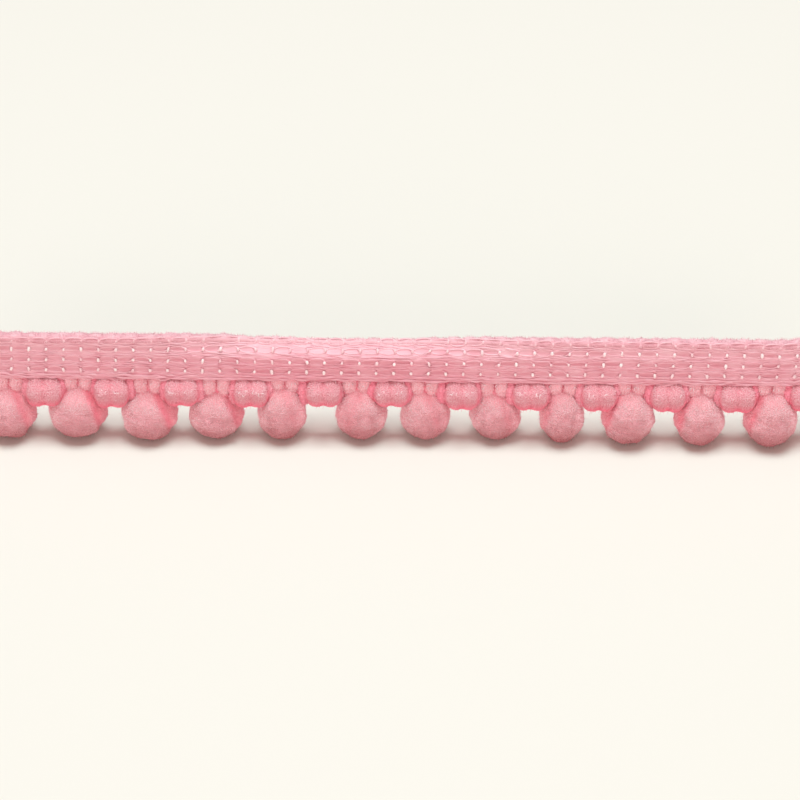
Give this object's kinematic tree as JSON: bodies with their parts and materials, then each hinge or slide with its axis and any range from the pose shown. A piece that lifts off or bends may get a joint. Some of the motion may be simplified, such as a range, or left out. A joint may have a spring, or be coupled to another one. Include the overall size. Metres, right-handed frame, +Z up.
{
  "type": "pompom fringe trim",
  "caption": "Soft pink pompom fringe trim: a narrow knitted heading tape edged with large round pompoms and small lobed ones in turn, as a cut length standing on its pompoms.",
  "frame": {"origin": "on the surface that the trim stands on, at the middle of its outline seen from above", "axes": "+X along the trim, +Y away from the knitted face that the viewer sees, +Z up from the surface, through the pompoms to the heading tape"},
  "size_m": [0.0944, 0.0076, 0.012],
  "materials": {
    "heading_yarn": "knitted filament yarn, soft sheen",
    "pompom_pile": "cut pile, matte",
    "bud_pile": "cut pile, matte"
  },
  "bodies": {
    "root": {"heading_tape": "heading_yarn", "pompom_01": "pompom_pile", "pompom_02": "pompom_pile", "pompom_03": "pompom_pile", "pompom_04": "pompom_pile", "pompom_05": "pompom_pile", "pompom_06": "pompom_pile", "pompom_07": "pompom_pile", "pompom_08": "pompom_pile", "pompom_09": "pompom_pile", "pompom_10": "pompom_pile", "pompom_11": "pompom_pile", "pompom_12": "pompom_pile", "pompom_13": "pompom_pile", "pompom_14": "pompom_pile", "bud_01": "bud_pile", "bud_02": "bud_pile", "bud_03": "bud_pile", "bud_04": "bud_pile", "bud_05": "bud_pile", "bud_06": "bud_pile", "bud_07": "bud_pile", "bud_08": "bud_pile", "bud_09": "bud_pile", "bud_10": "bud_pile", "bud_11": "bud_pile", "bud_12": "bud_pile", "bud_13": "bud_pile"}
  },
  "joints": []
}
